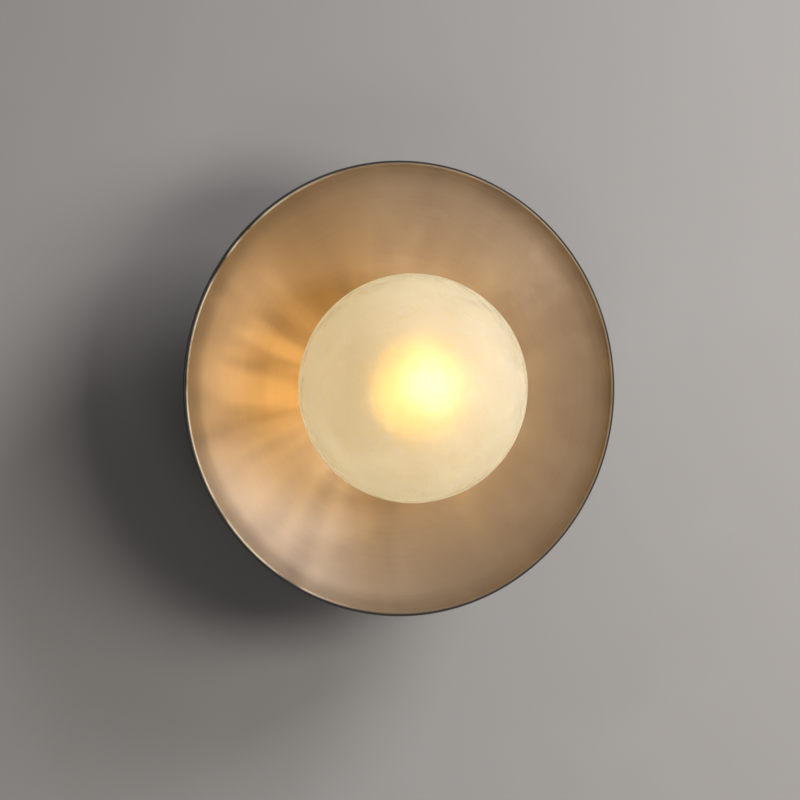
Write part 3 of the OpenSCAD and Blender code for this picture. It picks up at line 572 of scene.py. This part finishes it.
def place(tree, group, **inputs):
    """One use of a shared effect."""
    made = add(tree, "ShaderNodeGroup")
    made.node_tree = group
    for label, value in inputs.items():
        socket = made.inputs[label.replace("_", " ")]
        if isinstance(value, bpy.types.NodeSocket):
            tree.links.new(value, socket)
        else:
            socket.default_value = value
    return made.outputs


def blend_colour(tree, share, plain, other, how="MIX"):
    """A Mix node for colours: share of other over plain."""
    inputs = {0: share, 6: plain, 7: other}
    return add(tree, "ShaderNodeMix", inputs, data_type="RGBA", blend_type=how).outputs[2]


def relief(tree, shader, height, strength, depth):
    """A Bump node from a height to the shader's normal. depth is in metres."""
    bump = add(tree, "ShaderNodeBump", {"Height": height, "Strength": strength, "Distance": depth})
    tree.links.new(bump.outputs[0], shader.inputs["Normal"])


def wear(piece_or_node, material):
    """Puts a finish on a piece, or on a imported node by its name."""
    mesh = (nodes[piece_or_node] if isinstance(piece_or_node, str) else piece_or_node).data
    if mesh.materials:
        mesh.materials[0] = material
    else:
        mesh.materials.append(material)


def rgb(r, g, b):
    """A colour with full alpha, as colour sockets want it."""
    return (r, g, b, 1.0)


print("finish, place, relief and wear are ready")

# %% [markdown]
# ## Antique brass, brushed on the lathe
# The dish was brushed while it turned, so each scratch runs round the axis and throws a lamp's reflection
# out along the radius. The shader's anisotropy does that: the tangent runs round the Y axis and a quarter turn
# of its rotation spreads the highlight outward. Light and shade are also painted into the colour: lighter rays
# that are partly the brushing's own tone and partly painted highlight streaks, a painted golden reflection of
# the globe beside it on one side, a painted warm light above that, a painted pale lamp highlight at the lower
# left, painted shade below and towards the rim, and a painted highlight on one side of the lip.

# %%
ray_sheen_tone, shade_below_tone, warm_light_tone = rgb(0.46, 0.35, 0.21), rgb(0.22, 0.165, 0.118), rgb(0.275, 0.180, 0.096)
globe_reflection_tone, lamp_highlight_tone = rgb(0.53, 0.37, 0.215), rgb(0.48, 0.41, 0.37)
rim_shade_tone, lip_highlight_tone = rgb(0.20, 0.15, 0.10), rgb(0.95, 0.84, 0.66)
brass, tree, shader, at = finish("antique_brass_brushed", Metallic=1.0, Anisotropic=0.7,
                                 Anisotropic_Rotation=0.25)
tones = place(tree, mottle, Vector=at, Scale=9.0, Plain=rgb(0.335, 0.243, 0.166),
              Deep=rgb(0.295, 0.208, 0.142), Bright=rgb(0.38, 0.285, 0.20))
ray = place(tree, rays, Vector=at, Count=5.2, Drift=14.0)
# Lighter rays in the colour: partly the brushing's own tone, partly painted highlight streaks.
colour = blend_colour(tree, times(tree, ray["Ray"], 0.2), tones["Color"], ray_sheen_tone)
# Painted shade: the colour darkens towards the bottom of the dish.
painted_shade_below = place(tree, toward, Vector=at, Side=(-0.05, 0, -1), From=0.72, To=1.0)
colour = blend_colour(tree, times(tree, painted_shade_below["Mask"], 0.6), colour, shade_below_tone)
# Painted warm light: a deeper, warmer tone on the left of the dish, a little above its middle.
painted_warm_light = place(tree, toward, Vector=at, Side=(-0.90, 0, 0.43), From=0.35, To=0.95)
colour = blend_colour(tree, painted_warm_light["Mask"], colour, warm_light_tone)
# Painted reflection: a golden, streaked patch of the globe's light on the left, strongest next to the globe
# and fading towards the rim.
globe_reflection_side = place(tree, toward, Vector=at, Side=(-1, 0, 0.04), From=0.62, To=1.0)
inward = place(tree, fade, Vector=at, From=0.153, To=0.105)
streaks = spread(tree, ray["Ray"], 0.1, 0.7, 0.45, 1.0)
painted_globe_reflection = times(tree, times(tree, globe_reflection_side["Mask"], inward["Across"]), streaks)
colour = blend_colour(tree, painted_globe_reflection, colour, globe_reflection_tone)
# Painted highlight: a pale pinkish patch at the lower left that stands for a lamp's reflection.
painted_lamp_highlight = place(tree, toward, Vector=at, Side=(-0.70, 0, -0.71), From=0.80, To=1.0)
colour = blend_colour(tree, times(tree, painted_lamp_highlight["Mask"], 0.5), colour, lamp_highlight_tone)
# Painted shade: the colour darkens a little towards the rim. The same mask also makes the rim rougher.
rim_shade_and_dull = place(tree, fade, Vector=at, From=0.132, To=0.145)
colour = blend_colour(tree, times(tree, rim_shade_and_dull["Across"], 0.2), colour, rim_shade_tone)
# Painted highlight: a bright cream line on the lip, on its left side only, broken up by noise.
lip = place(tree, wear_or_sheen_band, Vector=at, Radius=0.1481, Width=0.0012, Break_up=30.0)
lip_lit_side = place(tree, toward, Vector=at, Side=(-1, 0, 0), From=0.1, To=0.75)
colour = blend_colour(tree, times(tree, lip["Mask"], lip_lit_side["Mask"]), colour, lip_highlight_tone)
tree.links.new(colour, shader.inputs["Base Color"])
print("brass coloured in seven zones")

# %% [markdown]
# ## The brass's polish
# The same rays are a little smoother than the metal between them, and the rim is duller, as the cloth lifts
# there. The scratches are too fine to be modelled, so a shallow bump of rings stands for them.

# %%
ring = place(tree, rings, Vector=at, Rings_per_metre=700.0)
rough = reckon(tree, "ADD", spread(tree, ray["Ray"], 0, 1, 0.54, 0.42), times(tree, ring["Line"], 0.05))
rough = reckon(tree, "ADD", rough, times(tree, rim_shade_and_dull["Across"], 0.15))
tree.links.new(rough, shader.inputs["Roughness"])
tangent = add(tree, "ShaderNodeTangent", direction_type="RADIAL", axis="Y")
tree.links.new(tangent.outputs[0], shader.inputs["Tangent"])
relief(tree, shader, ring["Height"], 0.04, 0.00004)
wear(liner, brass)
wear("gallery", brass)
print("antique brass on the liner and the gallery")

# %% [markdown]
# ## Satin black powder coat
# Powder coat melts into a skin with a faint orange-peel ripple. It is never quite black: dust lies on the
# faces that look up, and the flange's edge is rubbed a little by handling.

# %%
black, tree, shader, at = finish("black_powder_coat", Metallic=0.0, IOR=1.5, Specular_IOR_Level=0.4)
peel = place(tree, grain, Vector=at, Scale=900.0)
tones = place(tree, mottle, Vector=at, Scale=14.0, Plain=rgb(0.014, 0.013, 0.012),
              Deep=rgb(0.010, 0.009, 0.009), Bright=rgb(0.020, 0.018, 0.016))
film = place(tree, dust, Vector=at, Amount=0.06)
rub = place(tree, wear_or_sheen_band, Vector=at, Radius=0.15, Width=0.0004, Break_up=120.0)
dust_tone, bare_tone = rgb(0.30, 0.28, 0.26), rgb(0.16, 0.13, 0.10)
colour = blend_colour(tree, film["Mask"], tones["Color"], dust_tone)
colour = blend_colour(tree, times(tree, rub["Mask"], 0.12), colour, bare_tone)
tree.links.new(colour, shader.inputs["Base Color"])
tree.links.new(spread(tree, tones["Patch"], 0, 1, 0.46, 0.56), shader.inputs["Roughness"])
relief(tree, shader, peel["Height"], 0.35, 0.00006)
wear(shell, black)
for name in ("canopy", "canopy_screws", "stem", "backing_washer"):
    wear(name, black)
print("powder coat on the shell, canopy, stem and screws")

# %% [markdown]
# ## Frosted glass, lit from inside
# Sandblasted glass is clear glass with a rough skin: light goes through it and scatters. A white plastic
# finish would hide the bulb, so the glass is a true transmitting shader and the bulb shines through it. Slow
# waves in the skin break up the bulb's image, and a fine grain dulls it here and there.

# %%
frost, tree, shader, at = finish("frosted_glass", Metallic=0.0, Transmission_Weight=0.85, IOR=1.3,
                                 Emission_Strength=0.86)
tones = place(tree, mottle, Vector=at, Scale=34.0, Plain=rgb(1.0, 0.97, 0.90), Deep=rgb(0.93, 0.89, 0.80),
              Bright=rgb(1.0, 0.99, 0.95))
ripple = place(tree, grain, Vector=at, Scale=420.0)
speck_tone = rgb(0.66, 0.60, 0.48)
colour = blend_colour(tree, times(tree, ripple["Speck"], 0.5), tones["Color"], speck_tone)
tree.links.new(colour, shader.inputs["Base Color"])
tree.links.new(spread(tree, tones["Patch"], 0, 1, 0.49, 0.60), shader.inputs["Roughness"])
wave = place(tree, grain, Vector=at, Scale=32.0)
height = reckon(tree, "ADD", wave["Height"], times(tree, ripple["Height"], 0.06))
relief(tree, shader, height, 1.0, 0.0065)
wear(globe, frost)
print("frosted glass on the globe")

# %% [markdown]
# ## The glow of the frosting
# Light that bounces about inside the frosting makes the whole globe glow. Two glows stand for it. The one
# that is seen is a dim cream. The one that lights the dish is golden, comes from the outer skin alone, and
# grows towards the foot, because a renderer seldom finds a bulb's light through rough glass by itself.
# Light Path and Backfacing choose between them, so both stay in the material.

# %%
plain_glow, deep_glow, cast_glow = rgb(0.138, 0.120, 0.074), rgb(0.126, 0.106, 0.063), rgb(1.0, 0.70, 0.27)
skin_depth = 1
glow = blend_colour(tree, tones["Patch"], plain_glow, deep_glow)
ray_kind = add(tree, "ShaderNodeLightPath").outputs
seen = reckon(tree, "ADD", ray_kind["Is Camera Ray"], ray_kind["Is Transmission Ray"])
seen = reckon(tree, "ADD", seen, add(tree, "ShaderNodeNewGeometry").outputs["Backfacing"], clamp=True)
from_centre = add(tree, "ShaderNodeVectorMath", {0: at, 1: (0, -globe_h / 1000, 0)}, operation="DISTANCE")
skin = reckon(tree, "GREATER_THAN", from_centre.outputs["Value"], (globe_r - skin_depth) / 1000)
near_foot = place(tree, fade, Vector=at, From=-0.150, To=-0.090)
cast = times(tree, reckon(tree, "SUBTRACT", skin, seen, clamp=True), near_foot["Along"])
tree.links.new(blend_colour(tree, cast, glow, cast_glow), shader.inputs["Emission Color"])
print("two glows on the globe")

# %% [markdown]
# ## The lit bulb
# The envelope is thin clear glass with an amber wash, and the filaments are coated rods that glow. The wash
# itself also glows, a painted glow brightest at the front tip, which stands for the filaments' light in the
# glass. The envelope could refract, but see-through glass lets the filaments' light reach the globe
# with far less noise.

# %%
amber, tree, shader, at = finish("bulb_glass_amber", Metallic=0.0, Alpha=0.30, Emission_Strength=2.3)
wash = place(tree, mottle, Vector=at, Scale=36.0, Plain=rgb(0.70, 0.42, 0.06), Deep=rgb(0.34, 0.18, 0.01),
             Bright=rgb(0.78, 0.55, 0.12))
# Painted glow: the envelope's emission is brightest at its front tip, standing for the filaments' light in the
# glass.
tip_glow_mask = place(tree, fade, Vector=at, From=-0.154, To=-0.1635)
tip_glow_tone = rgb(1.0, 0.90, 0.52)
lit = blend_colour(tree, tip_glow_mask["Along"], wash["Color"], tip_glow_tone)
tree.links.new(wash["Color"], shader.inputs["Base Color"])
tree.links.new(lit, shader.inputs["Emission Color"])
tree.links.new(spread(tree, wash["Patch"], 0, 1, 0.06, 0.12), shader.inputs["Roughness"])
wear(bulb, amber)

post_glass, tree, shader, at = finish("post_glass", Metallic=0.0, Alpha=0.45)
tones = place(tree, mottle, Vector=at, Scale=80.0, Plain=rgb(0.90, 0.93, 0.92), Deep=rgb(0.80, 0.85, 0.84),
              Bright=rgb(0.97, 0.98, 0.98))
tree.links.new(tones["Color"], shader.inputs["Base Color"])
tree.links.new(spread(tree, tones["Patch"], 0, 1, 0.05, 0.15), shader.inputs["Roughness"])
wear("filament_stem", post_glass)

glowing, tree, shader, at = finish("filament_glow", Metallic=0.0, Roughness=0.6, Emission_Strength=3.0)
beads = place(tree, grain, Vector=at, Scale=1500.0)
glow = blend_colour(tree, beads["Speck"], rgb(1.0, 0.86, 0.42), rgb(1.0, 0.92, 0.56))
tree.links.new(glow, shader.inputs["Emission Color"])
tree.links.new(glow, shader.inputs["Base Color"])
relief(tree, shader, beads["Height"], 0.3, 0.0001)
wear("led_filaments", glowing)
print("bulb, post and filaments finished")

# %% [markdown]
# ## Plated steel, brass and nickel
# The hidden hardware is plain: zinc-plated pressings with a satin cloud, brass turnings that have dulled a
# little, and bright nickel on the cap. One function makes all three, with its own tones and roughness.

# %%
def plated(name, plain, deep, bright, smooth, matt):
    """A metal finish: mottled tones, roughness between smooth and matt, and fine turning marks."""
    made, tree, shader, at = finish(name, Metallic=1.0)
    tones = place(tree, mottle, Vector=at, Scale=45.0, Plain=plain, Deep=deep, Bright=bright)
    marks = place(tree, rings, Vector=at, Rings_per_metre=2600.0, Break_up=4.0)
    specks = place(tree, grain, Vector=at, Scale=1400.0)
    colour = blend_colour(tree, times(tree, specks["Speck"], 0.25), tones["Color"], deep)
    tree.links.new(colour, shader.inputs["Base Color"])
    tree.links.new(spread(tree, tones["Patch"], 0, 1, smooth, matt), shader.inputs["Roughness"])
    relief(tree, shader, marks["Height"], 0.15, 0.00003)
    return made


zinc = plated("zinc_plate", rgb(0.60, 0.61, 0.60), rgb(0.48, 0.49, 0.50), rgb(0.70, 0.69, 0.66),
              smooth=0.30, matt=0.44)
turned = plated("plain_brass_turned", rgb(0.76, 0.57, 0.27), rgb(0.60, 0.42, 0.19), rgb(0.86, 0.69, 0.38),
                smooth=0.22, matt=0.36)
bright = plated("nickel_plate", rgb(0.72, 0.70, 0.66), rgb(0.60, 0.58, 0.54), rgb(0.82, 0.80, 0.77),
                smooth=0.16, matt=0.28)
for name in ("mounting_plate", "earth_washers", "terminal_screws", "block_screw", "lock_washer", "globe_clips",
             "clip_rivets", "holder_bracket", "holder_screws", "holder_terminal_screws"):
    wear(name, zinc)
for name in ("earth_screw", "terminal_sleeves", "back_nut", "lampholder_shell", "centre_contact",
             "holder_terminals"):
    wear(name, turned)
wear(tube, turned)
for name in ("earth_eyelets", "earth_tag", "bulb_cap", "bulb_contact", "filament_wires"):
    wear(name, bright)
print("three metal finishes placed")

# %% [markdown]
# ## Porcelain, rubber and plastics
# The lampholder is glazed porcelain with tiny pits, the block is moulded nylon, and the grommet and gasket
# are rubber and silicone. These are dielectrics: colour, a soft grain, and a gloss that fits each.

# %%
def moulded(name, plain, deep, bright, smooth, matt, grain_scale, strength, depth, **numbers):
    """A dielectric finish: mottled colour, roughness from smooth to matt, a fine grain, and settled dust."""
    made, tree, shader, at = finish(name, Metallic=0.0, **numbers)
    tones = place(tree, mottle, Vector=at, Scale=40.0, Plain=plain, Deep=deep, Bright=bright)
    skin = place(tree, grain, Vector=at, Scale=grain_scale)
    film = place(tree, dust, Vector=at, Amount=0.10)
    colour = blend_colour(tree, film["Mask"], tones["Color"], rgb(0.45, 0.42, 0.38))
    tree.links.new(colour, shader.inputs["Base Color"])
    tree.links.new(spread(tree, tones["Patch"], 0, 1, smooth, matt), shader.inputs["Roughness"])
    relief(tree, shader, skin["Height"], strength, depth)
    return made


porcelain = moulded("porcelain", rgb(0.82, 0.81, 0.77), rgb(0.74, 0.72, 0.66), rgb(0.88, 0.87, 0.84),
                    0.10, 0.20, 500.0, 0.15, 0.0001, Coat_Weight=0.6, Coat_Roughness=0.06)
nylon = moulded("moulded_nylon", rgb(0.80, 0.79, 0.75), rgb(0.70, 0.69, 0.65), rgb(0.86, 0.85, 0.82),
                0.40, 0.52, 1200.0, 0.25, 0.00005)
rubber = moulded("black_rubber", rgb(0.028, 0.028, 0.028), rgb(0.020, 0.020, 0.020), rgb(0.040, 0.039, 0.038),
                 0.62, 0.78, 1500.0, 0.3, 0.00006)
silicone = moulded("clear_silicone", rgb(0.74, 0.73, 0.69), rgb(0.66, 0.65, 0.61), rgb(0.82, 0.81, 0.78),
                   0.30, 0.42, 800.0, 0.2, 0.00005, Alpha=0.85)
vitrite = moulded("black_vitrite", rgb(0.020, 0.018, 0.017), rgb(0.012, 0.011, 0.011),
                  rgb(0.030, 0.027, 0.025), 0.12, 0.24, 900.0, 0.2, 0.00005)
wear("lampholder_body", porcelain)
wear("terminal_block", nylon)
wear("cable_grommet", rubber)
wear("neck_gasket", silicone)
wear("bulb_insulator", vitrite)
print("five moulded finishes placed")

# %% [markdown]
# ## Wire insulation
# Drawn PVC has a soft gloss and faint lines along the wire. The earth wire is green with a yellow stripe on
# each side. The stripe follows the wire's own UV map, which says how far round a point is, so it stays
# straight on the wire through every bend.

# %%
def sleeving(name, colour, stripe=None):
    """PVC insulation: its colour varies slowly along the wire. A stripe, if given, shows where the size of the
    sine of the angle round the wire is above about 0.7, which is on two sides."""
    made, tree, shader, at = finish(name, Metallic=0.0)
    deep, bright = (0.8 * c for c in colour), (min(1.0, 1.2 * c) for c in colour)
    tones = place(tree, mottle, Vector=at, Scale=120.0, Plain=rgb(*colour), Deep=rgb(*deep),
                  Bright=rgb(*bright))
    shown = tones["Color"]
    if stripe:
        uv = add(tree, "ShaderNodeUVMap", uv_map="UVMap").outputs[0]
        angle = times(tree, add(tree, "ShaderNodeSeparateXYZ", {0: uv}).outputs[0], 2 * math.pi)
        swing = reckon(tree, "ABSOLUTE", reckon(tree, "SINE", angle))
        shown = blend_colour(tree, spread(tree, swing, 0.66, 0.72), shown, rgb(*stripe))
    tree.links.new(shown, shader.inputs["Base Color"])
    tree.links.new(spread(tree, tones["Patch"], 0, 1, 0.30, 0.42), shader.inputs["Roughness"])
    skin = place(tree, grain, Vector=at, Scale=1500.0)
    relief(tree, shader, skin["Height"], 0.15, 0.00004)
    return made


green = sleeving("earth_sleeving", (0.05, 0.27, 0.05), stripe=(0.80, 0.62, 0.03))
wear(earth, green)
wear(lead, green)
wear(live, sleeving("brown_sleeving", (0.17, 0.07, 0.03)))
wear(neutral, sleeving("blue_sleeving", (0.04, 0.15, 0.48)))
print("wires striped")

# %% [markdown]
# ## The wall and the floor
# The light hangs on a plain painted wall, with a pale floor far below. They are one sheet: up the wall, round
# a cove and out along the floor. The sheet stands half a millimetre behind the wall plane, so that it never
# lies in the face of the plate. It takes the light's shadow but gives none back, and it is see-through from
# behind, so that the light can be looked at from all sides.

# %%
wall_back, wall_top, cove_top, cove_r, floor_out, half_width = 0.0005, 3.0, -1.0, 0.4, 6.0, 5.0
bend = np.linspace(math.pi, 1.5 * math.pi, 16)
curved = np.stack([cove_r + cove_r * np.cos(bend), cove_top + cove_r * np.sin(bend)], -1)
cove = np.vstack([[[-wall_back, wall_top], [-wall_back, cove_top]], curved, [[floor_out, cove_top - cove_r]]])
x = np.array([-half_width, half_width])
sweep = np.stack(np.broadcast_arrays(x, -cove[:, :1], cove[:, 1:]), -1)
mesh = bpy.data.meshes.new("wall_and_floor")
k = np.arange(len(cove) - 1)[:, None]
mesh.from_pydata(sweep.reshape(-1, 3).tolist(), [], (2 * k + np.array([0, 2, 3, 1])).tolist())
mesh.polygons.foreach_set("use_smooth", np.ones(len(mesh.polygons), bool))
backdrop = bpy.data.objects.new("wall_and_floor", mesh)
bpy.context.scene.collection.objects.link(backdrop)
backdrop.visible_shadow = backdrop.visible_diffuse = backdrop.visible_glossy = False
print(f"the wall faces y {mesh.polygons[0].normal.y:+.0f}")

# %% [markdown]
# ## Matt wall paint
# Emulsion is matt and very slightly uneven, so three close greys are mottled over it. The sheet turns paler
# at floor level. Behind the sheet, a transparent shader takes over.

# %%
paint, tree, shader, at = finish("wall_paint", Metallic=0.0, Roughness=0.9)
tones = place(tree, mottle, Vector=at, Scale=2.0, Plain=rgb(0.49, 0.465, 0.445), Deep=rgb(0.47, 0.445, 0.425),
              Bright=rgb(0.51, 0.485, 0.465))
height = add(tree, "ShaderNodeSeparateXYZ", {0: at}).outputs[2]
floor_tone = rgb(0.72, 0.71, 0.69)
colour = blend_colour(tree, spread(tree, height, -0.9, -1.3), tones["Color"], floor_tone)
tree.links.new(colour, shader.inputs["Base Color"])
clear = add(tree, "ShaderNodeBsdfTransparent")
mix = add(tree, "ShaderNodeMixShader", {0: add(tree, "ShaderNodeNewGeometry").outputs["Backfacing"],
                                        1: shader.outputs[0], 2: clear.outputs[0]})
tree.links.new(mix.outputs[0], tree.nodes["Material Output"].inputs["Surface"])
wear(backdrop, paint)
print("paint on the wall and the floor")

# %% [markdown]
# ## Studio light
# Three soft lamps light the scene at a plain level. The key is wide, to the right and about level with the
# dish, near enough that the wall darkens towards the left. A higher one beside it draws the shadow down to
# the left, and a weak one low on the left opens the shade. The room adds an even trace of light. Together
# they bring a colour out about as it is written.

# %%
def soft_lamp(name, place_at, target, width, height, power, colour):
    """A rectangular area lamp that faces a target."""
    data = bpy.data.lights.new(name, "AREA")
    data.shape, data.size, data.size_y, data.energy, data.color = "RECTANGLE", width, height, power, colour
    lamp = bpy.data.objects.new(name, data)
    bpy.context.scene.collection.objects.link(lamp)
    lamp.location = place_at
    lamp.rotation_euler = (Vector(target) - Vector(place_at)).to_track_quat("-Z", "Y").to_euler()
    return lamp


def around(azimuth, elevation, distance):
    """A point by its bearing: azimuth 0 is straight out from the wall and 90 is to the right."""
    a, e = math.radians(azimuth), math.radians(elevation)
    return Vector((math.sin(a) * math.cos(e), -math.cos(a) * math.cos(e), math.sin(e))) * distance


warm_white, cool_white = (1.0, 0.975, 0.94), (0.98, 0.98, 1.0)
middle = (0.0, -0.05, 0.0)
reach = 1.5
key = soft_lamp("key_lamp", around(31, 4, reach), middle, 1.0, 0.45, 9.4, warm_white)
high = soft_lamp("high_lamp", around(46, 34, reach), middle, 0.5, 0.6, 8.5, cool_white)
low = soft_lamp("low_lamp", around(-10, -24, reach), middle, 0.6, 0.4, 2.2, warm_white)
world = bpy.data.worlds.new("room")
bpy.context.scene.world = world
world.use_nodes = True
room = world.node_tree.nodes["Background"].inputs
room["Color"].default_value, room["Strength"].default_value = rgb(0.96, 0.97, 1.0), 0.08
print("lamps:", {lamp.name: lamp.data.energy for lamp in (key, high, low)})

# %% [markdown]
# ## The camera
# The photograph was taken from the left of the dish's axis and level with it: the rim's outline is an
# ellipse whose width is about 0.945 of its height, so the camera stands 19 degrees round.

# %%
distance, bearing, view_angle = 2.1, math.radians(-19), math.radians(14.3)
rim_plane, aim_left, aim_down = 0.1039, 0.0024, 0.0076
right = Vector((math.cos(bearing), math.sin(bearing), 0))
ahead = Vector((-math.sin(bearing), math.cos(bearing), 0))
aim = Vector((0, -rim_plane, 0)) - aim_left * right - Vector((0, 0, aim_down))
lens = bpy.data.cameras.new("camera")
lens.angle = view_angle
camera = bpy.data.objects.new("camera", lens)
bpy.context.scene.collection.objects.link(camera)
camera.location = aim - distance * ahead
camera.rotation_euler = ahead.to_track_quat("-Z", "Y").to_euler()
bpy.context.scene.camera = camera
bpy.context.scene.view_settings.view_transform = "Standard"
print(f"camera {distance} m from the rim, lens {math.degrees(lens.angle):.1f} degrees")

# %% [markdown]
# ## Finishing
# The looks must not change the light's size. At the end the view layer is brought up to date.

# %%
bpy.context.view_layer.update()
